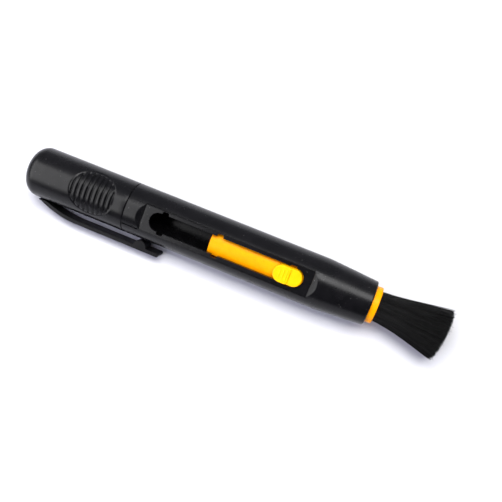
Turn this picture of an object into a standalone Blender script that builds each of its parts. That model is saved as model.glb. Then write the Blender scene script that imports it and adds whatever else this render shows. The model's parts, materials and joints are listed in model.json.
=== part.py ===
"""Lens cleaning pen: a slide-out dusting brush at the nose and a capped carbon polishing tip at the tail.

The pen lies on a table.  +X runs from the cap's end to the brush, +Z is up and z = 0 is the table.
Lengths below are in millimetres; lengths along the pen count from the cap's end.
"""

import math

import bmesh
import bpy
from mathutils import Matrix, Vector

MM = 0.001
GAP = 0.3                       # clearance kept between neighbouring pieces
SIDES = 32                      # facets round a turned piece; one facet lies flat on the table

# Outer form
BODY_R = 8.0                    # barrel and cap share one diameter
CAP_LENGTH = 34.8
NOSE_START = 98.0
NOSE_END = 113.4
NOSE_R = 6.9
BRUSH_TIP = 136.8
BORE_R = 5.95                   # the barrel's bore, which guides the carriage

# Directions round the pen, in degrees
SLOT_ABOVE_LEVEL = 63.5         # the slot faces up and to -Y
CLIP_HALF_WIDTH = 2.4
CLIP_OUTER = 11.55              # the strap's outer face, from the pen's axis
CLIP_THICKNESS = 1.2

# Flat and slot
FLAT_HEIGHT = 6.75
FLAT_START, FLAT_END = 40.9, 94.8
RAMP_SLOPE = 1.6                # length of a ramp for each millimetre of its height
SLOT_START, SLOT_END = 43.05, 93.0
SLOT_HALF_WIDTH = 2.85
NOTCH_CENTRES = (47.35, 65.15, 88.65)
NOTCH_LENGTH = 1.9
NOTCH_HALF_WIDTH = 3.75

# Cap
CAP_BORE_R = 6.8
CAP_FLOOR = 2.8
CAP_EDGE_R = 4.0
PATCH_CENTRE = 23.7
PATCH_R = 7.6                   # radius of the ribbed patch, measured round the surface
PATCH_FROM_CLIP = 101.0         # degrees round the pen from the clip to each patch's centre
RIB_PITCH = 1.63
GROOVE_COUNT = 9
GROOVE_WIDTH = 0.75
GROOVE_DEPTH = 0.45

# Spigot that the cap pushes onto
SPIGOT_START = 22.5
SPIGOT_R = 6.4
SPIGOT_BORE_R = 5.0
SPIGOT_BORE_END = 36.0
RING_GROOVE = (27.5, 29.5)
RING_GROOVE_R = 5.6

# Polishing tip
TIP_FACE = 6.4
TIP_R = 4.7
TIP_PIVOT = 13.9
NECK_WAIST_R = 1.1

# Carriage and brush
CARRIAGE_R = 5.65
CARRIAGE_START = 62.4
CARRIAGE_TUBE_START = 95.0
CARRIAGE_END = 112.8
CARRIAGE_BORE_R = 4.95
STRIP_FLOOR = 4.4
BUTTON_START, BUTTON_RIDGE, BUTTON_END = 83.7, 88.8, 92.2
BUTTON_HALF_WIDTH = 2.5
BUTTON_LOW, BUTTON_HIGH = 8.25, 8.85
PEG_X = 88.0
PEG_R = 1.1
FERRULE = (102.0, 112.9)
FERRULE_R = 4.65
FERRULE_WALL = 0.3
COLLAR_END = 115.7
BRISTLE_ROOT_R = 4.05
BRISTLE_FLARE_R = 7.7

# Where the pen lies: the lowest facets rest on the table, and so does the clip's lower corner
AXIS_HEIGHT = BODY_R * math.cos(math.pi / SIDES)
CLIP_CORNER_R = math.hypot(CLIP_OUTER, CLIP_HALF_WIDTH)
CLIP_CORNER_ANGLE = math.atan2(CLIP_HALF_WIDTH, CLIP_OUTER)
CLIP_BELOW_LEVEL = math.degrees(math.asin(AXIS_HEIGHT / CLIP_CORNER_R) - CLIP_CORNER_ANGLE)
CLIP_REACH = CLIP_CORNER_R * math.cos(math.radians(CLIP_BELOW_LEVEL) - CLIP_CORNER_ANGLE)
AXIS_Y = (CLIP_REACH - BODY_R) / 2


def metres(*lengths):
    return Vector([length * MM for length in lengths])


def material(name, colour, roughness, metallic=0.0):
    made = bpy.data.materials.new(name)
    made.use_nodes = True
    shader = made.node_tree.nodes["Principled BSDF"]
    shader.inputs["Base Color"].default_value = (*colour, 1.0)
    shader.inputs["Roughness"].default_value = roughness
    shader.inputs["Metallic"].default_value = metallic
    return made


def empty(name, parent=None, location=(0, 0, 0), turn=0.0):
    """A guide whose +Z points outward after a turn, in degrees, about the pen's axis."""
    guide = bpy.data.objects.new(name, None)
    bpy.context.collection.objects.link(guide)
    guide.parent = parent
    guide.location = metres(*location)
    guide.rotation_euler = (math.radians(turn), 0, 0)
    return guide


def add_object(name, shape, parent, origin, surface=None):
    """Turn a bmesh, drawn in the parent's millimetres, into an object whose origin is a chosen point."""
    bmesh.ops.recalc_face_normals(shape, faces=shape.faces)
    bmesh.ops.transform(shape, verts=shape.verts, matrix=Matrix.Translation(-Vector(origin)))
    bmesh.ops.scale(shape, verts=shape.verts, vec=(MM, MM, MM))
    mesh = bpy.data.meshes.new(name)
    shape.to_mesh(mesh)
    shape.free()
    made = bpy.data.objects.new(name, mesh)
    bpy.context.collection.objects.link(made)
    made.parent = parent
    made.location = metres(*origin)
    if surface:
        mesh.materials.append(surface)
    return made


def turned(name, outline, parent, surface, origin=(0, 0, 0)):
    """Spin an outline of (x, radius) points about the pen's axis; an outline off the axis is closed."""
    shape = bmesh.new()
    half_facet = math.pi / SIDES
    points = []
    for x, radius in outline:
        points.append(shape.verts.new((x, radius * math.sin(half_facet), -radius * math.cos(half_facet))))
    edges = [shape.edges.new(pair) for pair in zip(points, points[1:])]
    if outline[0][1] > 0:
        edges.append(shape.edges.new((points[-1], points[0])))
    bmesh.ops.spin(shape, geom=points + edges, axis=(1, 0, 0), cent=(0, 0, 0),
                   angle=2 * math.pi, steps=SIDES, use_merge=True)
    bmesh.ops.remove_doubles(shape, verts=shape.verts, dist=0.001)
    return add_object(name, shape, parent, origin, surface)


def prism(name, outline, low, high, along, parent, surface=None, origin=(0, 0, 0)):
    """Extrude an outline; along 'z' it holds (x, y) points, along 'y' it holds (x, z) points."""
    shape = bmesh.new()
    if along == "z":
        corners = [shape.verts.new((x, y, low)) for x, y in outline]
        step = Vector((0, 0, high - low))
    else:
        corners = [shape.verts.new((x, low, z)) for x, z in outline]
        step = Vector((0, high - low, 0))
    base = shape.faces.new(corners)
    grown = bmesh.ops.extrude_face_region(shape, geom=[base], use_keep_orig=True)
    moved = [item for item in grown["geom"] if isinstance(item, bmesh.types.BMVert)]
    bmesh.ops.translate(shape, verts=moved, vec=step)
    return add_object(name, shape, parent, origin, surface)


def arc(centre, radius, start, end, steps, flatten=1.0):
    """Points of an arc from one angle to another, in degrees; flatten scales its second axis."""
    points = []
    for step in range(steps + 1):
        angle = math.radians(start + (end - start) * step / steps)
        points.append((centre[0] + radius * math.cos(angle), centre[1] + flatten * radius * math.sin(angle)))
    return points


def obround(start, end, half_width, steps=6):
    """A slot's outline along X with round ends."""
    right = arc((end - half_width, 0), half_width, -90, 90, steps)
    left = arc((start + half_width, 0), half_width, 90, 270, steps)
    return right + left


def cut(target, cutter):
    cutter.hide_render = True
    cutter.display_type = "WIRE"
    boolean = target.modifiers.new(cutter.name, "BOOLEAN")
    boolean.operation = "DIFFERENCE"
    boolean.solver = "EXACT"
    boolean.object = cutter


def make_barrel(pen, slot_side, surface):
    outline = [
        (SPIGOT_START, SPIGOT_R - 0.3), (SPIGOT_START + 0.3, SPIGOT_R),
        (RING_GROOVE[0], SPIGOT_R), (RING_GROOVE[0], RING_GROOVE_R),
        (RING_GROOVE[1], RING_GROOVE_R), (RING_GROOVE[1], SPIGOT_R),
        (CAP_LENGTH + GAP, SPIGOT_R), (CAP_LENGTH + GAP, BODY_R - 0.2), (CAP_LENGTH + 0.5, BODY_R),
        (NOSE_START - 1, BODY_R), (NOSE_START + 1, BODY_R - 0.1),
        (NOSE_END - 0.4, NOSE_R), (NOSE_END, NOSE_R - 0.3),
        (NOSE_END, BORE_R), (SPIGOT_BORE_END, BORE_R),
        (SPIGOT_BORE_END, SPIGOT_BORE_R), (SPIGOT_START, SPIGOT_BORE_R),
    ]
    barrel = turned("barrel", outline, pen, surface)

    top = BODY_R + 0.7
    ramp = RAMP_SLOPE * (top - FLAT_HEIGHT)
    flat = [(FLAT_START - ramp, top), (FLAT_START, FLAT_HEIGHT), (FLAT_END, FLAT_HEIGHT), (FLAT_END + ramp, top)]
    cut(barrel, prism("cut_flat", flat, -BODY_R, BODY_R, "y", slot_side))
    slot = obround(SLOT_START, SLOT_END, SLOT_HALF_WIDTH)
    cut(barrel, prism("cut_slot", slot, BORE_R / 2, top, "z", slot_side))
    for index, centre in enumerate(NOTCH_CENTRES):
        left, right = centre - NOTCH_LENGTH / 2, centre + NOTCH_LENGTH / 2
        side = NOTCH_HALF_WIDTH
        notch = [(left, -side), (right, -side), (right, side), (left, side)]
        cut(barrel, prism(f"cut_notch_{index}", notch, BORE_R / 2, top, "z", slot_side))
    return barrel


def make_cap(pen, clip_side, surface):
    dome = [(0, 0), (0.15, 2.0)]
    edge = arc((CAP_EDGE_R + 0.45, BODY_R - CAP_EDGE_R), CAP_EDGE_R, 175, 90, 6)
    outline = dome + edge + [
        (CAP_LENGTH - 0.2, BODY_R), (CAP_LENGTH, BODY_R - 0.2),
        (CAP_LENGTH, CAP_BORE_R), (CAP_FLOOR, CAP_BORE_R), (CAP_FLOOR, 0),
    ]
    cap = turned("cap_shell", outline, pen, surface)
    for side in (-1, 1):
        cut(cap, groove_cutter(f"cut_grooves_{side + 1}", clip_side, side))
    return cap


def groove_cutter(name, clip_side, side):
    """Short ring-shaped teeth that follow the cap's curve and fill a round patch beside the clip."""
    shape = bmesh.new()
    inner, outer = BODY_R - GROOVE_DEPTH, BODY_R + 0.5
    around = side * math.radians(PATCH_FROM_CLIP)
    patch_side = Vector((0, -math.sin(around), math.cos(around)))
    for index in range(GROOVE_COUNT):
        offset = (index - (GROOVE_COUNT - 1) / 2) * RIB_PITCH
        half_angle = math.sqrt(PATCH_R ** 2 - offset ** 2) / BODY_R
        left = PATCH_CENTRE + offset - GROOVE_WIDTH / 2
        right = left + GROOVE_WIDTH
        turn = Matrix.Rotation(-half_angle, 3, "X")
        section = [(left, inner), (right, inner), (right, outer), (left, outer)]
        corners = [shape.verts.new(turn @ (Vector((x, 0, 0)) + patch_side * radius)) for x, radius in section]
        edges = [shape.edges.new((corners[i - 1], corners[i])) for i in range(len(corners))]
        bmesh.ops.spin(shape, geom=corners + edges, axis=(1, 0, 0), cent=(0, 0, 0),
                       angle=2 * half_angle, steps=6)
    bmesh.ops.holes_fill(shape, edges=shape.edges)
    return add_object(name, shape, clip_side, (0, 0, 0))


def make_cap_liner(pen, surface):
    start, end = CAP_FLOOR + GAP, SPIGOT_START - 1.2
    outer, inner, floor = CAP_BORE_R - GAP, TIP_R + 0.9, 0.8
    outline = [(start, 0), (start, outer), (end, outer), (end, inner), (start + floor, inner), (start + floor, 0)]
    return turned("cap_liner", outline, pen, surface)


def make_carbon_pad(pen, surface):
    start, end = CAP_FLOOR + 1.4, TIP_FACE - 0.9
    outline = [(start, 0), (start, TIP_R + 0.3), (end - 0.3, TIP_R + 0.3), (end, TIP_R), (end, 0)]
    return turned("carbon_pad", outline, pen, surface)


def make_clip(clip_side, surface):
    """A strap that springs from the cap, with a round nub that grips the pocket's edge."""
    root_x, straight_x, tip_x = 5.4, 19.3, 47.9
    root_height = BODY_R + GAP
    inner = CLIP_OUTER - CLIP_THICKNESS
    root_end = 8.2
    outer_curve = []
    for step in range(9):
        along = step / 8
        fall = (1 - along) ** 2 * (CLIP_OUTER - root_height - 0.15)
        outer_curve.append((root_x + along * (straight_x - root_x), CLIP_OUTER - fall))
    inner_curve = []
    for step in range(9):
        along = step / 8
        inner_curve.append((straight_x + 0.7 - along * (straight_x + 0.7 - root_end),
                            inner - along ** 2 * (inner - root_height)))
    end_curve = arc((tip_x - CLIP_THICKNESS / 2, CLIP_OUTER - CLIP_THICKNESS / 2), CLIP_THICKNESS / 2, 60, -90, 4)
    nub_reach = inner - root_height
    nub = arc((41.25, inner), 2.1, 360, 180, 8, nub_reach / 2.1)
    outline = outer_curve + end_curve + nub + inner_curve + [(root_x, root_height)]
    pivot = (7.5, 0, BODY_R + 0.4)
    return prism("pocket_clip", outline, -CLIP_HALF_WIDTH, CLIP_HALF_WIDTH, "y", clip_side, surface, pivot)


def make_cap_ring(pen, surface):
    start, end = RING_GROOVE[0] + GAP, RING_GROOVE[1] - GAP
    inner, outer = RING_GROOVE_R + GAP, SPIGOT_R + 0.1
    outline = [(start, inner), (start, outer - 0.3), (start + 0.3, outer), (end - 0.3, outer),
               (end, outer - 0.3), (end, inner)]
    return turned("cap_ring", outline, pen, surface)


def make_tail_plug(pen, surface):
    body_r, socket_r, socket_end = SPIGOT_BORE_R - GAP, 2.0, 32.0
    flange, end = SPIGOT_START - GAP, CARRIAGE_START - 23.8
    outline = [(end, 0), (end, body_r - 0.4), (end - 0.4, body_r), (flange, body_r), (flange, SPIGOT_R - 0.2),
               (flange - 0.5, SPIGOT_R - 0.2), (flange - 0.5, socket_r), (socket_end, socket_r), (socket_end, 0)]
    return turned("tail_plug", outline, pen, surface)


def make_tip_neck(pen, surface):
    """The rubber stem: its waist bends and lets the polishing face lie flat on a lens."""
    outline = [(10.6, 0), (10.6, 1.6), (10.9, 1.9), (12.2, 1.9), (12.6, 1.5), (TIP_PIVOT - 0.6, NECK_WAIST_R),
               (TIP_PIVOT + 0.6, NECK_WAIST_R), (16.2, 1.6), (18.6, 2.8), (21.3, 2.8), (21.3, 1.7),
               (31.2, 1.7), (31.7, 1.2), (31.7, 0)]
    return turned("tip_neck", outline, pen, surface)


def make_tip_disc(pen, surface):
    outline = [(8.6, 0), (8.6, TIP_R - 0.2), (8.8, TIP_R), (9.8, TIP_R), (10.0, TIP_R - 0.2), (10.0, 3.2),
               (12.0, 2.9), (12.0, 2.2), (10.3, 2.2), (10.3, 0)]
    return turned("tip_disc", outline, pen, surface, (TIP_PIVOT, 0, 0))


def make_tip_cushion(pen, surface):
    outline = [(7.3, 0), (7.3, TIP_R - 0.4), (7.8, TIP_R - 0.2), (8.3, TIP_R - 0.4), (8.3, 0)]
    return turned("tip_cushion", outline, pen, surface, (TIP_PIVOT, 0, 0))


def make_tip_chamois(pen, surface):
    """The polishing face, dished to match a lens."""
    outline = [(TIP_FACE + 0.25, 0), (TIP_FACE + 0.1, 2.6), (TIP_FACE, TIP_R - 0.5),
               (TIP_FACE + 0.15, TIP_R), (TIP_FACE + 0.6, TIP_R), (TIP_FACE + 0.6, 0)]
    return turned("tip_chamois", outline, pen, surface, (TIP_PIVOT, 0, 0))


def make_carriage(pen, slot_side, surface):
    """A tube that holds the brush, with a crowned strip running back under the slot."""
    web_end, web_r = CARRIAGE_TUBE_START + 2, STRIP_FLOOR - 0.4
    outline = [(CARRIAGE_START, CARRIAGE_R), (CARRIAGE_END, CARRIAGE_R), (CARRIAGE_END, CARRIAGE_BORE_R),
               (web_end, CARRIAGE_BORE_R), (web_end, web_r), (CARRIAGE_START, web_r)]
    carriage = turned("slider_carriage", outline, slot_side, surface)
    start, end, reach = CARRIAGE_START - 1, CARRIAGE_TUBE_START, BODY_R
    below = [(start, -reach), (end, -reach), (end, STRIP_FLOOR), (start, STRIP_FLOOR)]
    cut(carriage, prism("cut_strip", below, -reach, reach, "y", slot_side))
    hole = arc((PEG_X, 0), PEG_R + GAP, 0, 330, 11)
    cut(carriage, prism("cut_peg_hole", hole, 0, BODY_R, "z", slot_side))
    return carriage


def make_button(slot_side, surface):
    """An obround thumb piece in two lobes, stepped at its ridge, with a peg into the carriage."""
    seat = CARRIAGE_R + GAP
    shape = bmesh.new()
    outline = obround(BUTTON_START, BUTTON_END, BUTTON_HALF_WIDTH, 8)
    base = shape.faces.new([shape.verts.new((x, y, seat)) for x, y in outline])
    grown = bmesh.ops.extrude_face_region(shape, geom=[base], use_keep_orig=True)
    raised = [item for item in grown["geom"] if isinstance(item, bmesh.types.BMVert)]
    bmesh.ops.translate(shape, verts=raised, vec=(0, 0, BUTTON_LOW - seat))
    top = next(item for item in grown["geom"] if isinstance(item, bmesh.types.BMFace))
    bmesh.ops.bisect_plane(shape, geom=[top, *top.edges, *top.verts], dist=1e-5,
                           plane_co=(BUTTON_RIDGE, 0, 0), plane_no=(1, 0, 0))
    high = min((face for face in shape.faces if abs(face.calc_center_median().z - BUTTON_LOW) < 1e-4),
               key=lambda face: face.calc_center_median().x)
    grown = bmesh.ops.extrude_face_region(shape, geom=[high])
    raised = [item for item in grown["geom"] if isinstance(item, bmesh.types.BMVert)]
    bmesh.ops.translate(shape, verts=raised, vec=(0, 0, BUTTON_HIGH - BUTTON_LOW))
    bmesh.ops.delete(shape, geom=[high], context="FACES_ONLY")
    button = add_object("thumb_button", shape, slot_side, (PEG_X, 0, 0), surface)

    peg_outline = arc((PEG_X, 0), PEG_R, 0, 330, 11)
    peg = prism("join_peg", peg_outline, STRIP_FLOOR + 0.1, seat + 0.2, "z", slot_side)
    peg.hide_render = True
    peg.display_type = "WIRE"
    joined = button.modifiers.new("peg", "BOOLEAN")
    joined.operation = "UNION"
    joined.solver = "EXACT"
    joined.object = peg
    return button


def make_collar(pen, surface):
    start, inner = CARRIAGE_END + GAP, BRISTLE_ROOT_R + 1.1
    outline = [(start, inner), (start, CARRIAGE_R), (COLLAR_END - 0.25, CARRIAGE_R),
               (COLLAR_END, CARRIAGE_R - 0.25), (COLLAR_END, inner)]
    return turned("brush_collar", outline, pen, surface)


def make_ferrule(pen, surface):
    start, end = FERRULE
    inner = FERRULE_R - FERRULE_WALL
    outline = [(start, 0), (start, FERRULE_R), (end, FERRULE_R), (end, inner), (start + 0.6, inner), (start + 0.6, 0)]
    return turned("brush_ferrule", outline, pen, surface)


def make_glue(pen, surface):
    start, end = FERRULE[0] + 0.9, FERRULE[0] + 3.0
    outline = [(start, 0), (start, BRISTLE_ROOT_R), (end, BRISTLE_ROOT_R), (end, 0)]
    return turned("brush_glue", outline, pen, surface)


def make_bristles(pen, surface):
    """The tuft's outer form: straight in the ferrule, then flared to a domed, ragged end."""
    start = FERRULE[0] + 3.3
    outline = [(start, 0), (start, BRISTLE_ROOT_R), (FERRULE[1], BRISTLE_ROOT_R), (COLLAR_END, 4.8),
               (122.0, 5.5), (128.5, 6.45), (135.4, BRISTLE_FLARE_R), (136.3, 5.2), (BRUSH_TIP, 2.4), (BRUSH_TIP, 0)]
    return turned("bristle_tuft", outline, pen, surface)


def main():
    for item in list(bpy.data.objects):
        bpy.data.objects.remove(item)

    black = material("gloss_black_plastic", (0.012, 0.012, 0.014), 0.28)
    inner_black = material("matt_black_plastic", (0.02, 0.02, 0.022), 0.55)
    orange = material("orange_yellow_plastic", (0.95, 0.48, 0.01), 0.38)
    yellow = material("bright_yellow_plastic", (0.98, 0.75, 0.01), 0.42)
    rubber = material("black_rubber", (0.02, 0.02, 0.02), 0.8)
    foam = material("grey_foam", (0.16, 0.16, 0.17), 0.95)
    chamois = material("carbon_chamois", (0.04, 0.04, 0.042), 0.9)
    carbon = material("carbon_felt", (0.015, 0.015, 0.015), 0.97)
    tin = material("plated_steel", (0.62, 0.62, 0.6), 0.3, 1.0)
    resin = material("amber_resin", (0.55, 0.38, 0.12), 0.3)
    hair = material("black_bristle", (0.01, 0.01, 0.011), 0.6)

    pen = empty("pen_axis", None, (-BRUSH_TIP / 2, AXIS_Y, AXIS_HEIGHT))
    slot_side = empty("slot_side", pen, turn=90.0 - SLOT_ABOVE_LEVEL)
    clip_side = empty("clip_side", pen, turn=90.0 + CLIP_BELOW_LEVEL)

    make_barrel(pen, slot_side, black)
    make_tail_plug(pen, inner_black)
    make_tip_neck(pen, rubber)
    make_tip_disc(pen, inner_black)
    make_tip_cushion(pen, foam)
    make_tip_chamois(pen, chamois)
    make_cap_ring(pen, rubber)
    make_cap(pen, clip_side, black)
    make_cap_liner(pen, inner_black)
    make_carbon_pad(pen, carbon)
    make_clip(clip_side, black)
    make_carriage(pen, slot_side, orange)
    make_button(slot_side, yellow)
    make_collar(pen, orange)
    make_ferrule(pen, tin)
    make_glue(pen, resin)
    make_bristles(pen, hair)


main()
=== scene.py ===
"""Looks for the lens cleaning pen: turned shells, ribbed grip, moulded slider, a brush of single hairs."""

import json
import math
import random

import bmesh
import bpy
from mathutils import Matrix, Vector


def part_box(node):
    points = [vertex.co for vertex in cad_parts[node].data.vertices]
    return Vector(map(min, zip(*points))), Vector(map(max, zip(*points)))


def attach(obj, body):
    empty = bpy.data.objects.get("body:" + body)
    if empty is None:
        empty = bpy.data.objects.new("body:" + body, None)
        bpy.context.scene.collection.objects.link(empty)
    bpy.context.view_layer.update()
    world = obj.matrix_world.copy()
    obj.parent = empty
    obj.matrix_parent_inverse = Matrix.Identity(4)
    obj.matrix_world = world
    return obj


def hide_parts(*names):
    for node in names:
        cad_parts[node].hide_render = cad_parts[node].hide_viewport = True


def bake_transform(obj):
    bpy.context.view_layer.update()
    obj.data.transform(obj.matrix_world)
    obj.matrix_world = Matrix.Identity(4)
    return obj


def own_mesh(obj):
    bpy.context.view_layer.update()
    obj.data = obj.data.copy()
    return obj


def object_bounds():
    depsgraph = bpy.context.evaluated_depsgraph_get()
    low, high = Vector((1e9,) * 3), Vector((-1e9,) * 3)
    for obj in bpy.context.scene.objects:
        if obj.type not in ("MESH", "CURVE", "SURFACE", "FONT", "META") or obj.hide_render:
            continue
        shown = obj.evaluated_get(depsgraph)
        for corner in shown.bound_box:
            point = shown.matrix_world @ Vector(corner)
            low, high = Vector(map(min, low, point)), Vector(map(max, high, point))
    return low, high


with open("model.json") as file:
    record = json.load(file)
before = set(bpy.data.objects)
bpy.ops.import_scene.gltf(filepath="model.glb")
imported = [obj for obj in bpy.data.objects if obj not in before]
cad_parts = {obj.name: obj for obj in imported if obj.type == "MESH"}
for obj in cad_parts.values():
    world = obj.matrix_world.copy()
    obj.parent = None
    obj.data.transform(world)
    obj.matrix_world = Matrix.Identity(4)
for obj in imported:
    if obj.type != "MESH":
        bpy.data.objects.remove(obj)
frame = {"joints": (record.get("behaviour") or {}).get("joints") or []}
cad_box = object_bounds()

# ---------------------------------------------------------------- places, from the frame
MM = 0.001
pen_low = cad_box[0]
barrel_low, barrel_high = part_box("barrel")
START_X = pen_low[0]                                    # the cap's end, from which lengths are counted
AXIS_Y = (barrel_low.y + barrel_high.y) / 2
AXIS_Z = (barrel_low.z + barrel_high.z) / 2
BODY_R = (barrel_high.z - barrel_low.z) / 2 / MM        # radii and lengths along the pen are in millimetres
joints = {joint["name"]: joint for joint in frame["joints"]}
flex_axis = joints["clip_flex"]["axis"]
CLIP_TURN = math.degrees(math.atan2(-flex_axis[2], -flex_axis[1]))
SLOT_TURN = 26.5                                        # degrees from straight up to the slot


def along(node):
    """Where a node starts and ends along the pen, in millimetres from the cap's end."""
    low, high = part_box(node)
    return (low.x - START_X) / MM, (high.x - START_X) / MM


def place(x, out=0.0, across=0.0):
    """A point in metres: x along the pen, out straight up from its axis, across to the side."""
    return Vector((START_X + x * MM, AXIS_Y + across * MM, AXIS_Z + out * MM))


# ---------------------------------------------------------------- bench tools
def pick_nothing():
    for item in list(bpy.context.selected_objects):
        item.select_set(False)


def work_on(piece):
    pick_nothing()
    piece.select_set(True)
    bpy.context.view_layer.objects.active = piece


def new_piece(name):
    piece = bpy.context.active_object
    piece.name = name
    piece.data.name = name
    return piece


def apply_place(piece):
    work_on(piece)
    bpy.ops.object.transform_apply(location=True, rotation=True, scale=True)
    return piece


def turn_about_pen(piece, degrees):
    """Swing a finished piece round the pen's axis from straight up, towards -Y."""
    centre = Matrix.Translation(place(0))
    turn = Matrix.Rotation(math.radians(degrees), 4, "X")
    piece.matrix_world = centre @ turn @ centre.inverted() @ piece.matrix_world
    return apply_place(piece)


def arc(centre, radius, start, end, steps, flatten=1.0):
    points = []
    for step in range(steps + 1):
        angle = math.radians(start + (end - start) * step / steps)
        points.append((centre[0] + radius * math.cos(angle), centre[1] + flatten * radius * math.sin(angle)))
    return points


def rounded(outline, fillets, steps=4):
    """Round chosen corners of an outline; fillets holds one radius for each point, 0 for a sharp one."""
    points = []
    count = len(outline)
    for index, (corner, fillet) in enumerate(zip(outline, fillets)):
        if fillet <= 0 or index in (0, count - 1):
            points.append(corner)
            continue
        here = Vector(corner)
        back = Vector(outline[index - 1]) - here
        ahead = Vector(outline[index + 1]) - here
        reach = min(fillet, back.length * 0.48, ahead.length * 0.48)
        first = here + back.normalized() * reach
        last = here + ahead.normalized() * reach
        for step in range(steps + 1):
            t = step / steps
            points.append(tuple(first * (1 - t) ** 2 + here * 2 * t * (1 - t) + last * t ** 2))
    return points


def draw_outline(name, points):
    """Extrude one vertex from point to point, as with the pen tool."""
    pick_nothing()
    bpy.ops.mesh.primitive_plane_add(size=MM, location=points[0])
    piece = new_piece(name)
    bpy.ops.object.mode_set(mode="EDIT")
    bpy.ops.mesh.merge(type="CENTER")
    for here, there in zip(points, points[1:]):
        bpy.ops.mesh.extrude_region_move(TRANSFORM_OT_translate={"value": there - here})
    return piece


def lathe(name, outline, steps=128, closed=True):
    """Spin an outline of (x, radius) points about the pen's axis; a closed outline makes a hollow piece."""
    points = [place(x, radius) for x, radius in outline]
    if closed:
        points.append(points[0])
    piece = draw_outline(name, points)
    bpy.ops.mesh.select_all(action="SELECT")
    bpy.ops.mesh.spin(steps=steps, angle=2 * math.pi, center=place(0), axis=(1, 0, 0))
    bpy.ops.mesh.select_all(action="SELECT")
    bpy.ops.mesh.remove_doubles(threshold=0.002 * MM)
    bpy.ops.mesh.normals_make_consistent(inside=False)
    bpy.ops.object.mode_set(mode="OBJECT")
    return apply_place(piece)


def plate(name, outline, half_width):
    """A flat plate standing along the pen: an (x, out) outline given a width across."""
    points = [place(x, out, -half_width) for x, out in outline]
    piece = draw_outline(name, points + [points[0]])
    bpy.ops.mesh.select_all(action="SELECT")
    bpy.ops.mesh.remove_doubles(threshold=0.002 * MM)
    bpy.ops.mesh.select_all(action="SELECT")
    bpy.ops.mesh.edge_face_add()
    bpy.ops.mesh.extrude_region_move(TRANSFORM_OT_translate={"value": (0, 2 * half_width * MM, 0)})
    bpy.ops.mesh.select_all(action="SELECT")
    bpy.ops.mesh.normals_make_consistent(inside=False)
    bpy.ops.object.mode_set(mode="OBJECT")
    return apply_place(piece)


def block(name, x_range, out_range, half_width):
    """A box along the pen."""
    pick_nothing()
    centre = place(sum(x_range) / 2, sum(out_range) / 2)
    bpy.ops.mesh.primitive_cube_add(size=1, location=centre)
    piece = new_piece(name)
    piece.scale = Vector((x_range[1] - x_range[0], 2 * half_width, out_range[1] - out_range[0])) * MM
    return apply_place(piece)


def bevel_chosen(piece, is_chosen, radius, segments):
    """Round the edges for which a question about their two ends is true."""
    work_on(piece)
    bpy.ops.object.mode_set(mode="EDIT")
    bpy.ops.mesh.select_mode(type="EDGE")
    bpy.ops.mesh.select_all(action="DESELECT")
    shape = bmesh.from_edit_mesh(piece.data)
    for edge in shape.edges:
        edge.select_set(is_chosen(edge.verts[0].co, edge.verts[1].co))
    shape.select_flush_mode()
    bmesh.update_edit_mesh(piece.data)
    bpy.ops.mesh.bevel(offset=radius * MM, segments=segments, affect="EDGES")
    bpy.ops.mesh.select_mode(type="VERT")
    bpy.ops.object.mode_set(mode="OBJECT")
    return piece


def round_upright_edges(piece, radius, end=0, segments=12):
    """Bevel the edges that point away from the pen, at the rear (-1), at the front (1) or at both (0)."""
    ends = [vertex.co.x for vertex in piece.data.vertices]
    middle = (min(ends) + max(ends)) / 2

    def upright(first, second):
        line = second - first
        return abs(line.x) + abs(line.y) < 1e-6 and end * (first.x - middle) >= 0

    return bevel_chosen(piece, upright, radius, segments)


def carve(piece, tool):
    """Cut a tool out of a piece, and put the tool away."""
    work_on(piece)
    boolean = piece.modifiers.new("carve", "BOOLEAN")
    boolean.operation = "DIFFERENCE"
    boolean.solver = "EXACT"
    boolean.object = tool
    bpy.ops.object.modifier_apply(modifier=boolean.name)
    bpy.data.objects.remove(tool)
    return piece


def soften(piece, width, segments=2, angle=28, clamp=False):
    """Break the sharp edges, as a mould does, and shade the rest smooth."""
    work_on(piece)
    bevel = piece.modifiers.new("soften", "BEVEL")
    bevel.width = width * MM
    bevel.segments = segments
    bevel.limit_method = "ANGLE"
    bevel.angle_limit = math.radians(angle)
    bevel.use_clamp_overlap = clamp
    bpy.ops.object.modifier_apply(modifier=bevel.name)
    return shade_by_area(piece)


def shade_round(piece):
    """Shade smooth, keeping the true corners sharp."""
    work_on(piece)
    bpy.ops.object.shade_smooth_by_angle(angle=math.radians(35))


def shade_by_area(piece):
    """Shade smooth, letting the larger faces stay flat."""
    shade_round(piece)
    weigh = piece.modifiers.new("weigh", "WEIGHTED_NORMAL")
    weigh.weight = 50
    weigh.keep_sharp = True
    bpy.ops.object.modifier_apply(modifier=weigh.name)
    return piece


def finish_piece(piece, body, surface, slot, *nodes):
    """Give a piece its surface and its body, and hide the CAD nodes that it stands for."""
    piece.data.materials.clear()
    piece.data.materials.append(surface)
    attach(piece, body)
    if nodes:
        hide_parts(*nodes)
    return piece


# ---------------------------------------------------------------- surface effects, built once
def effect_group(name, inputs, outputs):
    """An empty node group with named sockets, each input given as (name, kind, value)."""
    group = bpy.data.node_groups.new(name, "ShaderNodeTree")
    for label, kind, value in inputs:
        socket = group.interface.new_socket(name=label, in_out="INPUT", socket_type=kind)
        socket.default_value = value
    for label, kind in outputs:
        group.interface.new_socket(name=label, in_out="OUTPUT", socket_type=kind)
    return group, group.nodes.new("NodeGroupInput"), group.nodes.new("NodeGroupOutput")


def add(tree, kind, **settings):
    node = tree.nodes.new(kind)
    for label, value in settings.items():
        setattr(node, label, value)
    return node


def wire(tree, source, target):
    tree.links.new(source, target)


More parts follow.
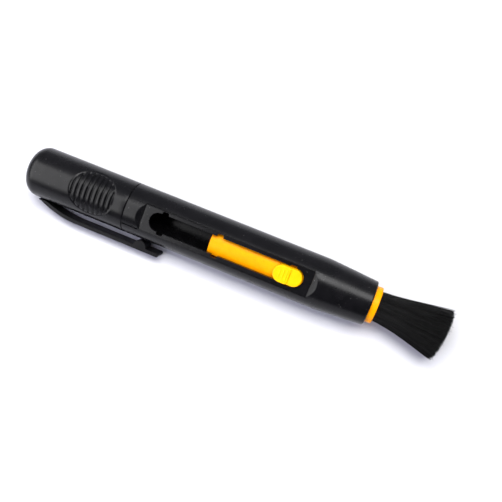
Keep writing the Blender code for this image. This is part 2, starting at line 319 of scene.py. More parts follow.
def spread(tree, source, low, high, to_low=0.0, to_high=1.0):
    """Stretch the part of a value between low and high."""
    node = add(tree, "ShaderNodeMapRange", interpolation_type="SMOOTHSTEP")
    wire(tree, source, node.inputs["Value"])
    node.inputs["From Min"].default_value = low
    node.inputs["From Max"].default_value = high
    node.inputs["To Min"].default_value = to_low
    node.inputs["To Max"].default_value = to_high
    return node.outputs["Result"]


def maths(tree, operation, first, second=None):
    node = add(tree, "ShaderNodeMath", operation=operation)
    for socket, value in zip(node.inputs, (first, second)):
        if value is None:
            continue
        if isinstance(value, (int, float)):
            socket.default_value = value
        else:
            wire(tree, value, socket)
    return node.outputs["Value"]


def noise(tree, place_socket, scale, detail=2.0, roughness=0.5):
    node = add(tree, "ShaderNodeTexNoise")
    wire(tree, place_socket, node.inputs["Vector"])
    node.inputs["Scale"].default_value = scale
    node.inputs["Detail"].default_value = detail
    node.inputs["Roughness"].default_value = roughness
    return node.outputs["Fac"]


def make_mould_texture():
    """Fine spark-eroded texture, faint flow waves and small changes of shade, as a moulded part has."""
    group, given, made = effect_group(
        "mould_texture",
        [("Place", "NodeSocketVector", (0, 0, 0)), ("Grain", "NodeSocketFloat", 1.0),
         ("Waves", "NodeSocketFloat", 1.0)],
        [("Height", "NodeSocketFloat"), ("Shade", "NodeSocketFloat")])
    spot = given.outputs["Place"]
    grain = noise(group, spot, 5200, 3.0, 0.6)
    waves = noise(group, spot, 260, 2.0, 0.4)
    height = maths(group, "ADD", maths(group, "MULTIPLY", grain, given.outputs["Grain"]),
                   maths(group, "MULTIPLY", waves, given.outputs["Waves"]))
    wire(group, height, made.inputs["Height"])
    wire(group, noise(group, spot, 420, 4.0, 0.55), made.inputs["Shade"])
    return group


def make_handling_marks():
    """Fine scuffs along the pen, fingerprints' dull patches, and specks of dust."""
    group, given, made = effect_group(
        "handling_marks",
        [("Place", "NodeSocketVector", (0, 0, 0)), ("Scuffs", "NodeSocketFloat", 0.5),
         ("Dust", "NodeSocketFloat", 0.5)],
        [("Scuff", "NodeSocketFloat"), ("Smear", "NodeSocketFloat"), ("Speck", "NodeSocketFloat")])
    spot = given.outputs["Place"]
    stretched = add(group, "ShaderNodeMapping")
    stretched.inputs["Scale"].default_value = (60, 2600, 2600)
    stretched.inputs["Rotation"].default_value = (0.0, 0.12, 0.2)
    wire(group, spot, stretched.inputs["Vector"])
    lines = spread(group, noise(group, stretched.outputs["Vector"], 1.0, 2.0), 0.62, 0.74)
    where = spread(group, noise(group, spot, 160, 2.0), 0.45, 0.65)
    scuff = maths(group, "MULTIPLY", maths(group, "MULTIPLY", lines, where), given.outputs["Scuffs"])
    wire(group, scuff, made.inputs["Scuff"])
    wire(group, spread(group, noise(group, spot, 95, 4.0, 0.6), 0.4, 0.7), made.inputs["Smear"])
    cells = add(group, "ShaderNodeTexVoronoi")
    cells.inputs["Scale"].default_value = 1500
    wire(group, spot, cells.inputs["Vector"])
    near = spread(group, cells.outputs["Distance"], 0.06, 0.16, 1.0, 0.0)
    chosen = spread(group, noise(group, spot, 1100, 0.0), 0.66, 0.7)
    speck = maths(group, "MULTIPLY", maths(group, "MULTIPLY", near, chosen), given.outputs["Dust"])
    wire(group, speck, made.inputs["Speck"])
    return group


mould_texture = make_mould_texture()
handling_marks = make_handling_marks()


# ---------------------------------------------------------------- materials
def new_material(name):
    """A Principled material and its Object coordinates."""
    made = bpy.data.materials.new(name)
    made.use_nodes = True
    tree = made.node_tree
    shader = tree.nodes["Principled BSDF"]
    place_node = add(tree, "ShaderNodeTexCoord")
    return made, tree, shader, place_node.outputs["Object"]


def tint(tree, mask, first, second):
    """Blend two colours by a mask."""
    node = add(tree, "ShaderNodeMix", data_type="RGBA")
    wire(tree, mask, node.inputs["Factor"])
    for socket, colour in ((node.inputs[6], first), (node.inputs[7], second)):
        if isinstance(colour, tuple):
            socket.default_value = (*colour, 1.0)
        else:
            wire(tree, colour, socket)
    return node.outputs[2]


def emboss(tree, shader, height, strength, distance):
    bump = add(tree, "ShaderNodeBump")
    bump.inputs["Strength"].default_value = strength
    bump.inputs["Distance"].default_value = distance * MM
    wire(tree, height, bump.inputs["Height"])
    wire(tree, bump.outputs["Normal"], shader.inputs["Normal"])


def moulded_plastic(name, colour, second, roughness, grain, scuffs, dust, strength=0.12):
    """Moulded plastic: two near shades, a fine texture, handling scuffs and a little dust."""
    made, tree, shader, spot = new_material(name)
    texture = add(tree, "ShaderNodeGroup", node_tree=mould_texture)
    marks = add(tree, "ShaderNodeGroup", node_tree=handling_marks)
    for node in (texture, marks):
        wire(tree, spot, node.inputs["Place"])
    texture.inputs["Grain"].default_value = grain
    marks.inputs["Scuffs"].default_value = scuffs
    marks.inputs["Dust"].default_value = dust
    base = tint(tree, spread(tree, texture.outputs["Shade"], 0.35, 0.65), colour, second)
    dusty = tint(tree, marks.outputs["Speck"], base, (0.32, 0.31, 0.3))
    wire(tree, dusty, shader.inputs["Base Color"])
    smear = maths(tree, "MULTIPLY", marks.outputs["Smear"], 0.07)
    scuffed = maths(tree, "ADD", maths(tree, "MULTIPLY", marks.outputs["Scuff"], 0.2), smear)
    wire(tree, maths(tree, "ADD", scuffed, roughness), shader.inputs["Roughness"])
    height = maths(tree, "SUBTRACT", texture.outputs["Height"],
                   maths(tree, "MULTIPLY", marks.outputs["Scuff"], 0.8))
    emboss(tree, shader, height, strength, 0.05)
    return made, shader


DEEP_BLACKS = (0.003, 0.003, 0.0035), (0.0045, 0.0043, 0.005)


def make_black_gloss():
    made, shader = moulded_plastic("black_gloss_plastic", *DEEP_BLACKS, 0.24, 0.5, 0.5, 0.5)
    shader.inputs["Specular IOR Level"].default_value = 0.18
    return made


def make_clip_black():
    """The clip's plastic, duller than the pen's."""
    made, shader = moulded_plastic("clip_black_plastic", *DEEP_BLACKS, 0.3, 0.5, 0.5, 0.4)
    shader.inputs["Specular IOR Level"].default_value = 0.085
    return made


def make_black_matt():
    made, _ = moulded_plastic("black_matt_plastic", (0.012, 0.012, 0.013), (0.02, 0.02, 0.021),
                              0.48, 1.4, 0.25, 0.3, 0.3)
    return made


def make_orange_plastic():
    made, shader = moulded_plastic("orange_yellow_plastic", (1.0, 0.34, 0.0), (1.0, 0.375, 0.0005),
                                   0.3, 0.6, 0.35, 0.12)
    shader.inputs["Specular IOR Level"].default_value = 0.07
    shader.inputs["Subsurface Weight"].default_value = 0.12
    shader.inputs["Subsurface Radius"].default_value = (0.6 * MM, 0.25 * MM, 0.05 * MM)
    return made


def make_yellow_plastic():
    made, shader = moulded_plastic("bright_yellow_plastic", (0.98, 0.48, 0.0), (1.0, 0.53, 0.001),
                                   0.34, 0.6, 0.4, 0.1)
    shader.inputs["Specular IOR Level"].default_value = 0.07
    shader.inputs["Subsurface Weight"].default_value = 0.12
    shader.inputs["Subsurface Radius"].default_value = (0.6 * MM, 0.35 * MM, 0.05 * MM)
    return made


def make_rubber():
    made, shader = moulded_plastic("black_rubber", (0.012, 0.012, 0.012), (0.022, 0.021, 0.021),
                                   0.62, 2.0, 0.1, 1.2, 0.4)
    shader.inputs["Sheen Weight"].default_value = 0.15
    return made


def make_foam():
    """Closed-cell foam: small round pits in a dull grey."""
    made, tree, shader, spot = new_material("grey_foam")
    cells = add(tree, "ShaderNodeTexVoronoi")
    cells.inputs["Scale"].default_value = 3200
    wire(tree, spot, cells.inputs["Vector"])
    pit = spread(tree, cells.outputs["Distance"], 0.15, 0.6)
    wire(tree, tint(tree, pit, (0.09, 0.09, 0.095), (0.17, 0.17, 0.18)), shader.inputs["Base Color"])
    shader.inputs["Roughness"].default_value = 0.9
    emboss(tree, shader, pit, 0.6, 0.12)
    return made


def make_chamois():
    """Chamois rubbed with carbon: a napped surface with polished, darker patches."""
    made, tree, shader, spot = new_material("carbon_chamois")
    nap = noise(tree, spot, 4200, 4.0, 0.7)
    rubbed = spread(tree, noise(tree, spot, 520, 3.0), 0.4, 0.62)
    colour = tint(tree, rubbed, (0.018, 0.018, 0.02), (0.05, 0.049, 0.048))
    wire(tree, colour, shader.inputs["Base Color"])
    wire(tree, spread(tree, rubbed, 0.0, 1.0, 0.6, 0.92), shader.inputs["Roughness"])
    shader.inputs["Sheen Weight"].default_value = 0.3
    emboss(tree, shader, nap, 0.5, 0.08)
    return made


def make_carbon_felt():
    """Felt charged with carbon powder: matted fibres under soot."""
    made, tree, shader, spot = new_material("carbon_felt")
    stretched = add(tree, "ShaderNodeMapping")
    stretched.inputs["Scale"].default_value = (1.0, 0.25, 1.0)
    wire(tree, spot, stretched.inputs["Vector"])
    fibre = noise(tree, stretched.outputs["Vector"], 3800, 5.0, 0.75)
    wire(tree, tint(tree, fibre, (0.005, 0.005, 0.005), (0.03, 0.03, 0.031)), shader.inputs["Base Color"])
    wire(tree, spread(tree, fibre, 0.3, 0.7, 0.85, 1.0), shader.inputs["Roughness"])
    emboss(tree, shader, fibre, 0.8, 0.15)
    return made


def make_plated_steel():
    """Drawn and plated steel, with draw lines round the pen."""
    made, tree, shader, spot = new_material("plated_steel")
    drawn = add(tree, "ShaderNodeMapping")
    drawn.inputs["Scale"].default_value = (9000, 300, 300)
    wire(tree, spot, drawn.inputs["Vector"])
    lines = noise(tree, drawn.outputs["Vector"], 1.0, 2.0)
    wire(tree, tint(tree, lines, (0.5, 0.5, 0.48), (0.72, 0.71, 0.69)), shader.inputs["Base Color"])
    shader.inputs["Metallic"].default_value = 1.0
    wire(tree, spread(tree, lines, 0.2, 0.8, 0.22, 0.42), shader.inputs["Roughness"])
    emboss(tree, shader, lines, 0.15, 0.02)
    return made


def make_resin():
    """Cured amber resin with small bubbles."""
    made, tree, shader, spot = new_material("amber_resin")
    bubbles = add(tree, "ShaderNodeTexVoronoi")
    bubbles.inputs["Scale"].default_value = 2200
    wire(tree, spot, bubbles.inputs["Vector"])
    round_bubble = spread(tree, bubbles.outputs["Distance"], 0.1, 0.3)
    wire(tree, tint(tree, round_bubble, (0.62, 0.45, 0.18), (0.42, 0.25, 0.07)), shader.inputs["Base Color"])
    wire(tree, spread(tree, round_bubble, 0.0, 1.0, 0.12, 0.3), shader.inputs["Roughness"])
    emboss(tree, shader, round_bubble, 0.4, 0.05)
    return made


def make_black_hair():
    """Dark hair with a dull sheen; each hair has its own shade."""
    made, tree, shader, spot = new_material("black_bristle")
    streaks = add(tree, "ShaderNodeMapping")
    streaks.inputs["Scale"].default_value = (120, 5200, 5200)
    wire(tree, spot, streaks.inputs["Vector"])
    shade = noise(tree, streaks.outputs["Vector"], 1.0, 3.0, 0.7)
    wire(tree, tint(tree, spread(tree, shade, 0.35, 0.7), (0.0008, 0.0008, 0.0009), (0.003, 0.0029, 0.003)),
         shader.inputs["Base Color"])
    shader.inputs["Specular IOR Level"].default_value = 0.14
    wire(tree, spread(tree, shade, 0.3, 0.7, 0.34, 0.56), shader.inputs["Roughness"])
    emboss(tree, shader, noise(tree, spot, 9000, 2.0), 0.15, 0.02)
    return made


BLACK_GLOSS = make_black_gloss()
CLIP_BLACK = make_clip_black()
BLACK_MATT = make_black_matt()
ORANGE = make_orange_plastic()
YELLOW = make_yellow_plastic()
RUBBER = make_rubber()
FOAM = make_foam()
CHAMOIS = make_chamois()
CARBON_FELT = make_carbon_felt()
PLATED_STEEL = make_plated_steel()
RESIN = make_resin()
BLACK_HAIR = make_black_hair()


# ---------------------------------------------------------------- the barrel
CAP_END = along("cap_shell")[1]
NOSE_END = along("barrel")[1]
SPIGOT_START = along("barrel")[0]
SPIGOT_R = 6.4
BORE_R = 5.95
NOSE_R = 6.9
FLAT_HEIGHT = 6.75
FLAT = (40.9, 94.8)                 # where the flat's floor starts and ends
RAMP_SLOPE = 1.6
SLOT = (43.05, 92.6)
SLOT_HALF_WIDTH = 2.85
NOTCHES = ((47.35, 0.85), (65.15, 0.85), (88.65, 0.45))    # where each pair lies and how deep it is


def on_flat_side(first, second):
    """Whether an edge lies along one side of the flat."""
    turn = math.radians(SLOT_TURN)
    outward = Vector((0, -math.sin(turn), math.cos(turn)))
    heights = [(point - place(0)).dot(outward) / MM for point in (first, second)]
    off_axis = min(abs((point - place(0)).cross(outward).x) / MM for point in (first, second))
    return all(abs(height - FLAT_HEIGHT) < 0.01 for height in heights) and off_axis > 4.0


def make_barrel():
    seam = CAP_END + 0.17
    outline = [
        (SPIGOT_START, 5.0), (SPIGOT_START, SPIGOT_R), (27.5, SPIGOT_R), (27.5, 5.6), (29.5, 5.6),
        (29.5, SPIGOT_R), (seam, SPIGOT_R), (seam, BODY_R), (98.0, BODY_R + 0.03), (NOSE_END, NOSE_R),
        (NOSE_END, BORE_R), (36.0, BORE_R), (36.0, 5.0),
    ]
    fillets = [0, 0.4, 0.15, 0.1, 0.1, 0.15, 0.2, 0.18, 1.0, 1.3, 0.15, 0, 0]
    barrel = lathe("barrel_shell", rounded(outline, fillets), 112)

    top = BODY_R + 1
    ramp = RAMP_SLOPE * (top - FLAT_HEIGHT)
    start, end = FLAT
    flat_outline = [(start, FLAT_HEIGHT), (end, FLAT_HEIGHT), (end + ramp, top), (start - ramp, top)]
    flat_tool = turn_about_pen(plate("flat_tool", flat_outline, BODY_R + 1), SLOT_TURN)
    carve(barrel, flat_tool)
    bevel_chosen(barrel, on_flat_side, 0.4, 4)

    slot_tool = block("slot_tool", SLOT, (2.5, top), SLOT_HALF_WIDTH)
    round_upright_edges(slot_tool, SLOT_HALF_WIDTH - 0.01)
    carve(barrel, turn_about_pen(slot_tool, SLOT_TURN))
    for centre, depth in NOTCHES:
        notch_tool = block("notch_tool", (centre - 1.0, centre + 1.0), (2.5, top), SLOT_HALF_WIDTH + depth)
        round_upright_edges(notch_tool, 0.4, segments=4)
        carve(barrel, turn_about_pen(notch_tool, SLOT_TURN))
    soften(barrel, 0.11)
    return finish_piece(barrel, "body", BLACK_GLOSS, "gloss_black", "barrel")


make_barrel()


# ---------------------------------------------------------------- the cap and its clip
PATCH_CENTRE = 23.7
PATCH_R = 7.6
PATCH_FROM_CLIP = 101.0
RIB_PITCH = 1.63


def ease(value, low, high):
    t = min(max((value - low) / (high - low), 0.0), 1.0)
    return t * t * (3 - 2 * t)


def grip_depth(x, angle_from_patch):
    """How deep the ribbed patch lies under the cap's surface at a point of it."""
    offset = x - PATCH_CENTRE
    sideways = angle_from_patch * BODY_R
    out = math.hypot(offset, sideways) / PATCH_R
    dish = 0.14 * ease(out, 1.0, 0.97)
    from_groove = abs((offset / RIB_PITCH + 0.5) % 1 - 0.5) * RIB_PITCH
    groove = ease(from_groove, 0.5, 0.05)
    ribbed = ease(out, 0.96, 0.9)
    return dish + ribbed * (0.42 * groove - 0.08)


def make_cap():
    start = along("cap_shell")[0]
    edge_r = 4.0
    dome = [(start, 0), (start + 0.05, 1.2), (start + 0.17, 2.4), (start + 0.38, 3.6)]
    edge = arc((start + edge_r + 0.45, BODY_R - edge_r), edge_r, 171, 90, 14)
    steps, half_length = 160, PATCH_R * 1.02
    patch = [(PATCH_CENTRE + half_length * (2 * step / steps - 1), BODY_R) for step in range(steps + 1)]
    mouth = rounded([(33.0, BODY_R), (CAP_END, BODY_R), (CAP_END, 6.8), (30.0, 6.8)], [0, 0.18, 0.12, 0])
    outline = dome + edge + patch + mouth + [(2.8, 6.8), (2.8, 0)]
    cap = lathe("cap_body", outline, 224, closed=False)
    sink_grip_patches(cap)
    shade_round(cap)
    return finish_piece(cap, "cap", BLACK_GLOSS, "gloss_black", "cap_shell")


def sink_grip_patches(cap):
    """Press the two ribbed patches, one each side of the clip, into the cap."""
    for vertex in cap.data.vertices:
        x = (vertex.co.x - START_X) / MM
        around = Vector((vertex.co.y - AXIS_Y, vertex.co.z - AXIS_Z))
        if around.length < (BODY_R - 0.05) * MM or abs(x - PATCH_CENTRE) > PATCH_R:
            continue
        angle = math.atan2(-around.x, around.y)
        for side in (-1, 1):
            patch_angle = math.radians(CLIP_TURN + side * PATCH_FROM_CLIP)
            away = (angle - patch_angle + math.pi) % (2 * math.pi) - math.pi
            around = around * (1 - grip_depth(x, away) / BODY_R)
        vertex.co.y, vertex.co.z = AXIS_Y + around.x, AXIS_Z + around.y


def make_clip():
    """A strap springing from the cap in one curve, straight to its tip, with a round nub beneath."""
    half_width, outer, thickness = 2.4, 11.55, 1.2
    root, straight, tip = along("pocket_clip")[0], 19.3, along("pocket_clip")[1]
    foot = BODY_R + 0.16
    inner = outer - thickness
    outer_curve = []
    for step in range(25):
        share = step / 24
        drop = (1 - share) ** 2 * (outer - foot - 0.1)
        outer_curve.append((root + share * (straight - root), outer - drop))
    inner_curve = []
    for step in range(17):
        share = step / 16
        inner_curve.append((20.0 - share * 11.8, inner - share ** 2 * (inner - foot)))
    end_curve = arc((tip - thickness / 2, outer - thickness / 2), thickness / 2, 70, -90, 12)
    nub = arc((41.25, inner), 2.1, 360, 180, 20, (inner - foot - 0.2) / 2.1)
    outline = outer_curve + end_curve + nub + inner_curve + [(root, foot)]
    clip = plate("pocket_clip_strap", outline, half_width)
    back = set(outer_curve[2:])

    def outer_rim(first, second):
        def on_back(point):
            x, out = (point.x - START_X) / MM, (point.z - AXIS_Z) / MM
            return any(abs(x - spot[0]) + abs(out - spot[1]) < 0.01 for spot in back)

        lengthways = abs(first.x - second.x) > 1e-6 and abs(first.y - second.y) < 1e-6
        return on_back(first) and on_back(second) and lengthways

    bevel_chosen(clip, outer_rim, 0.3, 4)
    turn_about_pen(clip, CLIP_TURN)
    soften(clip, 0.14, 3, 50, clamp=True)
    return finish_piece(clip, "clip", CLIP_BLACK, "gloss_black", "pocket_clip")


make_cap()
make_clip()


# ---------------------------------------------------------------- the slider
CARRIAGE_R = 5.65
CARRIAGE = along("slider_carriage")
COLLAR = along("brush_collar")
STRIP_FLOOR = 4.4


def make_carriage():
    web = 97.0
    outline = [(CARRIAGE[0], 4.0), (CARRIAGE[0], CARRIAGE_R), (CARRIAGE[1], CARRIAGE_R), (CARRIAGE[1], 4.95),
               (web, 4.95), (web, 4.0)]
    carriage = lathe("carriage_strip", rounded(outline, [0, 0.25, 0.15, 0.1, 0, 0]), 128)
    below = block("below_strip", (CARRIAGE[0] - 1, 95.0), (-8.0, STRIP_FLOOR), 8.0)
    carve(carriage, turn_about_pen(below, SLOT_TURN))
    soften(carriage, 0.12)
    return finish_piece(carriage, "slider", ORANGE, "orange_plastic", "slider_carriage")


def lobe(name, x_range, out_range, half_width, rear_r, front_r):
    """A pad with rounded ends and softened rims."""
    pad = block(name, x_range, out_range, half_width)
    round_upright_edges(pad, rear_r, -1, 16)
    round_upright_edges(pad, front_r, 1, 16)
    return soften(pad, 0.3, 4, 50, clamp=True)


def make_button():
    """A two-lobed thumb piece: the rear lobe stands higher and carries three fine grip bars."""
    start, ridge, end, half_width = 83.45, 88.4, 92.3, 2.6
    seat, low, high = CARRIAGE_R + 0.3, 8.4, 8.85
    pads = [lobe("front_lobe", (ridge - 1.2, end), (seat, low), half_width - 0.03, 1.4, 2.5),
            lobe("rear_lobe", (start, ridge + 0.1), (seat - 0.02, high), half_width, 2.5, 0.8)]
    for step in range(3):
        centre = start + 2.0 + step * 1.1
        half_length = 1.75 - 0.2 * (2 - step)
        bar = block(f"grip_bar_{step + 1}", (centre - 0.2, centre + 0.2), (high - 0.3, high + 0.12),
                    half_length)
        pads.append(soften(bar, 0.12, 2, 50))
    for pad in pads:
        turn_about_pen(pad, SLOT_TURN)
        finish_piece(pad, "slider", YELLOW, "yellow_plastic", "thumb_button")


def make_collar():
    front = COLLAR[1] - 0.25
    outline = [(COLLAR[0], 5.15), (COLLAR[0], CARRIAGE_R), (front, CARRIAGE_R), (front, 4.9),
               (front - 0.8, 4.85)]
    collar = lathe("front_collar", rounded(outline, [0, 0.1, 0.35, 0.2, 0], 6), 128)
    shade_round(collar)
    return finish_piece(collar, "slider", ORANGE, "orange_plastic", "brush_collar")


make_carriage()
make_button()
make_collar()


# ---------------------------------------------------------------- the brush
BRUSH_TIP = along("bristle_tuft")[1]
SECTORS = 12
HAIRS_PER_SECTOR = 300
HAIR_R = 0.07
ROOT_R = 4.45
FLARE_R = 7.75
HAIR_STEPS = 8
TABLE_BELOW = 0.15 - AXIS_Z / MM    # hairs that would meet the table lie along it
TIP_LEAN = 0.8                      # how far the tuft leans to -Y at its tip


def hair_path(angle, share, dice):
    """One hair, from inside the collar to its flared tip; share is its place from the middle to the edge."""
    lean = angle + dice.gauss(0, 0.06)
    flare = share * FLARE_R * (1 + dice.gauss(0, 0.035))
    trimmed = 0.5 * share ** 2 - 0.7 * share * math.sin(angle)
    length_x = BRUSH_TIP - trimmed - abs(dice.gauss(0, 0.5)) + (dice.random() < 0.015) * 0.7
    start_x = COLLAR[1] - 4.0
    bow = dice.gauss(0, 0.12)
    points = []
    for step in range(HAIR_STEPS + 1):
        t = step / HAIR_STEPS
        x = start_x + (length_x - start_x) * t
        opened = ease(t, 0.05, 1.5) / ease(1.0, 0.05, 1.5)
        radius = share * ROOT_R * (1 - opened) + flare * opened
        swing = angle + (lean - angle) * t
        sway = bow * math.sin(math.pi * t)
        out = radius * math.cos(swing) - sway * math.sin(swing)
        across = radius * math.sin(swing) + sway * math.cos(swing) - TIP_LEAN * t ** 2
        points.append(place(x, max(out, TABLE_BELOW), across))
    return points


def make_hairs():
    dice = random.Random(7)
    for sector in range(SECTORS):
        width = 2 * math.pi / SECTORS
        middle = (sector + 0.5) * width
        drawing = bpy.data.curves.new(f"hairs_{sector + 1:02d}", "CURVE")
        drawing.dimensions = "3D"
        drawing.bevel_depth = HAIR_R * MM
        drawing.bevel_resolution = 0
        drawing.use_fill_caps = True
        for index in range(HAIRS_PER_SECTOR):
            share = math.sqrt((index + dice.random()) / HAIRS_PER_SECTOR)
            angle = middle + (dice.random() - 0.5) * width
            points = hair_path(angle, share, dice)
            strand = drawing.splines.new("POLY")
            strand.points.add(len(points) - 1)
            for step, (point, spot) in enumerate(zip(strand.points, points)):
                point.co = (*spot, 1.0)
                point.radius = 1.0 - 0.55 * (step / (len(points) - 1)) ** 3
        tuft = bpy.data.objects.new(f"hairs_{sector + 1:02d}", drawing)
        bpy.context.collection.objects.link(tuft)
        work_on(tuft)
        bpy.ops.object.convert(target="MESH")
        tuft = bpy.context.active_object
        tuft.data.polygons.foreach_set("use_smooth", [True] * len(tuft.data.polygons))
        finish_piece(tuft, "slider", BLACK_HAIR, "black_bristle", "bristle_tuft")
        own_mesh(tuft)


def make_ferrule():
    start, end = along("brush_ferrule")
    outline = [(start, 0), (start, 4.65), (end, 4.65), (end, 4.35), (start + 0.6, 4.35), (start + 0.6, 0)]
    cup = lathe("crimped_ferrule", rounded(outline, [0, 0.4, 0.1, 0.1, 0, 0]), 96, closed=False)
    shade_round(cup)
    finish_piece(cup, "slider", PLATED_STEEL, "plated_steel", "brush_ferrule")
    low, high = along("brush_glue")
    outline = [(low, 0), (low, 4.05), (high, 4.05), (high + 0.2, 0)]
    drop = lathe("resin_plug", rounded(outline, [0, 0.3, 0.3, 0]), 96, closed=False)
    shade_round(drop)
    finish_piece(drop, "slider", RESIN, "amber_resin", "brush_glue")


make_hairs()
make_ferrule()


# ---------------------------------------------------------------- under the cap
TIP_R = 4.7


def turned_part(name, outline, fillets, body, surface, slot, node, steps=96):
    """A plain solid or hollow turned part that stands for one CAD node."""
    hollow = outline[0][1] > 0
    part = lathe(name, rounded(outline, fillets), steps, closed=hollow)
    shade_round(part)
    return finish_piece(part, body, surface, slot, node)


def make_tip():
    face = along("tip_chamois")[0]
    turned_part("polishing_face",
                [(face + 0.3, 0), (face + 0.2, 2.0), (face, TIP_R - 0.5), (face + 0.15, TIP_R),
                 (face + 0.6, TIP_R), (face + 0.6, 0)],
                [0, 1.5, 0.4, 0.15, 0.1, 0], "tip", CHAMOIS, "chamois", "tip_chamois")
    turned_part("foam_cushion",
                [(7.05, 0), (7.05, TIP_R - 0.25), (7.8, TIP_R - 0.1), (8.55, TIP_R - 0.25), (8.55, 0)],
                [0, 0.2, 0.5, 0.2, 0], "tip", FOAM, "foam", "tip_cushion")
    turned_part("tip_plate",
                [(8.6, 0), (8.6, TIP_R), (10.0, TIP_R), (10.0, 3.2), (12.0, 2.9), (12.0, 2.2), (10.3, 2.2),
                 (10.3, 0)],
                [0, 0.25, 0.25, 0.4, 0.2, 0.1, 0, 0], "tip", BLACK_MATT, "matt_black", "tip_disc")
    neck = turned_part("rubber_neck",
                       [(10.6, 0), (10.6, 1.9), (12.4, 1.9), (13.0, 1.15), (14.8, 1.1), (18.0, 2.8),
                        (21.3, 2.8), (21.3, 1.7), (31.6, 1.7), (31.6, 0)],
                       [0, 0.4, 0.5, 0.8, 1.4, 1.2, 0.2, 0.2, 0.5, 0], "body", RUBBER, "rubber", "tip_neck")
    neck.parent = None
    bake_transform(neck)


def make_plug_and_ring():
    flange, end = along("tail_plug")
    turned_part("spigot_plug",
                [(end, 0), (end, 4.7), (flange + 0.5, 4.7), (flange + 0.5, 6.2), (flange, 6.2), (flange, 2.0),
                 (32.0, 2.0), (32.0, 0)],
                [0, 0.4, 0, 0.15, 0.15, 0.3, 0, 0], "body", BLACK_MATT, "matt_black", "tail_plug")
    turned_part("friction_ring",
                [(27.8, 5.9), (27.8, 6.5), (29.2, 6.5), (29.2, 5.9)],
                [0, 0.28, 0.28, 0], "ring", RUBBER, "rubber", "cap_ring")


def make_cap_inside():
    start, end = along("cap_liner")
    turned_part("liner_sleeve",
                [(start, 0), (start, 6.5), (end, 6.5), (end, 5.6), (start + 0.8, 5.6), (start + 0.8, 0)],
                [0, 0.3, 0.2, 0.2, 0, 0], "cap", BLACK_MATT, "matt_black", "cap_liner")
    start, end = along("carbon_pad")
    turned_part("felt_pad",
                [(start, 0), (start, TIP_R + 0.4), (end, TIP_R + 0.4), (end, 0)],
                [0, 0.2, 0.5, 0], "cap", CARBON_FELT, "carbon_felt", "carbon_pad")


make_tip()
make_plug_and_ring()
make_cap_inside()


# ---------------------------------------------------------------- table, light and camera
VIEW_ABOVE_LEVEL = 75.2             # degrees, round the pen from level
CAMERA_DISTANCE = 205.6             # millimetres from the pen's axis
CAMERA_FOOT = 98.85                 # where the camera stands along the pen
CAMERA_LEAN = 6.8                   # degrees that it looks back towards the cap
PEN_TILT_IN_VIEW = 22.0             # degrees that the pen runs down to the right
SENSOR_WIDTH = 36.0                 # millimetres
FOCAL_LENGTH = 48.7649
VIEW_DROP = 0.32                    # degrees that the camera looks past the axis, to the far side
SIDE_POWER = 13.5                   # watts; the panel and the strip are seen in the gloss only
STRIP_POWER = 5.0
KEY_POWER = 10.0                    # watts; the key and the fill light the colours only
FILL_POWER = 6.8


def make_camera():
    up = math.radians(VIEW_ABOVE_LEVEL)
    to_camera = Vector((0, -math.cos(up), math.sin(up)))
    lean = math.radians(CAMERA_LEAN)
    forward = -to_camera * math.cos(lean) - Vector((1, 0, 0)) * math.sin(lean)
    pen_in_view = Vector((1, 0, 0)) * math.cos(lean) - to_camera * math.sin(lean)
    below_in_view = forward.cross(pen_in_view)
    forward = (forward - below_in_view * math.tan(math.radians(VIEW_DROP))).normalized()
    below_in_view = forward.cross(pen_in_view).normalized()
    tilt = math.radians(PEN_TILT_IN_VIEW)
    right = pen_in_view * math.cos(tilt) - below_in_view * math.sin(tilt)
    down = pen_in_view * math.sin(tilt) + below_in_view * math.cos(tilt)
    lens = bpy.data.cameras.new("camera")
    lens.sensor_width = SENSOR_WIDTH
    lens.lens = FOCAL_LENGTH
    lens.clip_start = 0.01
    camera = bpy.data.objects.new("camera", lens)
    bpy.context.collection.objects.link(camera)
    turn = Matrix((right, -down, -forward)).transposed().to_4x4()
    camera.matrix_world = Matrix.Translation(place(CAMERA_FOOT) + to_camera * CAMERA_DISTANCE * MM) @ turn
    bpy.context.scene.camera = camera


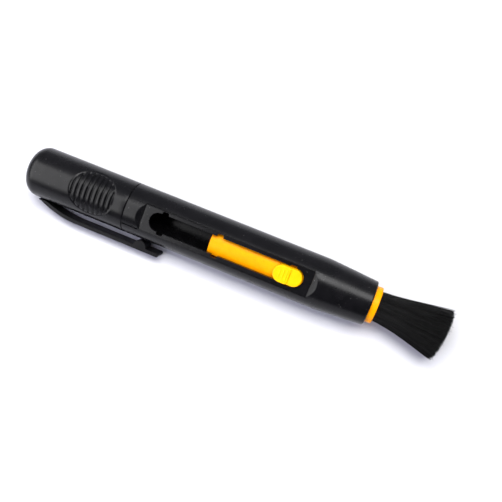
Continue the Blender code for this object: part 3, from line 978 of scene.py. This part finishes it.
def make_table():
    pick_nothing()
    bpy.ops.mesh.primitive_plane_add(size=6, location=(0, 0, 0))
    table = new_piece("table")
    made, tree, shader, spot = new_material("pale_paper")
    fibre = noise(tree, spot, 300, 5.0, 0.7)
    wire(tree, tint(tree, fibre, (0.61, 0.61, 0.62), (0.64, 0.64, 0.65)), shader.inputs["Base Color"])
    shader.inputs["Roughness"].default_value = 0.85
    table.data.materials.append(made)


def add_soft_light(name, spot, along_edge, size, power):
    """A rectangular lamp that faces the pen, with its first edge near a given direction."""
    light = bpy.data.lights.new(name, "AREA")
    light.shape = "RECTANGLE"
    light.size, light.size_y = size
    light.energy = power
    lamp = bpy.data.objects.new(name, light)
    bpy.context.collection.objects.link(lamp)
    back = Vector(spot).normalized()
    side = Vector(along_edge)
    side = (side - back * side.dot(back)).normalized()
    turn = Matrix((side, back.cross(side), back)).transposed().to_4x4()
    lamp.matrix_world = Matrix.Translation(spot) @ turn
    return lamp


def make_room():
    """A dim room, paler behind the table."""
    world = bpy.data.worlds.new("studio")
    bpy.context.scene.world = world
    world.use_nodes = True
    tree = world.node_tree
    heading = add(tree, "ShaderNodeTexCoord")
    split = add(tree, "ShaderNodeSeparateXYZ")
    wire(tree, heading.outputs["Generated"], split.inputs["Vector"])
    room = tree.nodes["Background"]
    wire(tree, spread(tree, split.outputs["Y"], -0.1, 0.5, 0.1, 0.5), room.inputs["Strength"])
    room.inputs["Color"].default_value = (0.88, 0.89, 1.0, 1)


def make_lights():
    make_room()
    panel = add_soft_light("side_panel", (-0.53, -0.26, 0.54), (1, 0, 0), (0.76, 1.1), SIDE_POWER)
    strip = add_soft_light("overhead_strip", (0.1, 0.13, 0.69), (1, 0, 0), (0.55, 0.31), STRIP_POWER)
    for lamp in (panel, strip):
        lamp.visible_diffuse = False
    key = add_soft_light("overhead_key", (0.0, 0.13, 0.79), (1, 0, 0), (0.7, 0.4), KEY_POWER)
    fill = add_soft_light("side_fill", (-0.45, -0.45, 0.55), (1, 0, 0), (0.8, 0.8), FILL_POWER)
    for lamp in (key, fill):
        lamp.visible_glossy = False
    fill.data.color = (0.78, 0.78, 1.0)
    bpy.context.scene.view_settings.view_transform = "Standard"


make_camera()
make_table()
make_lights()
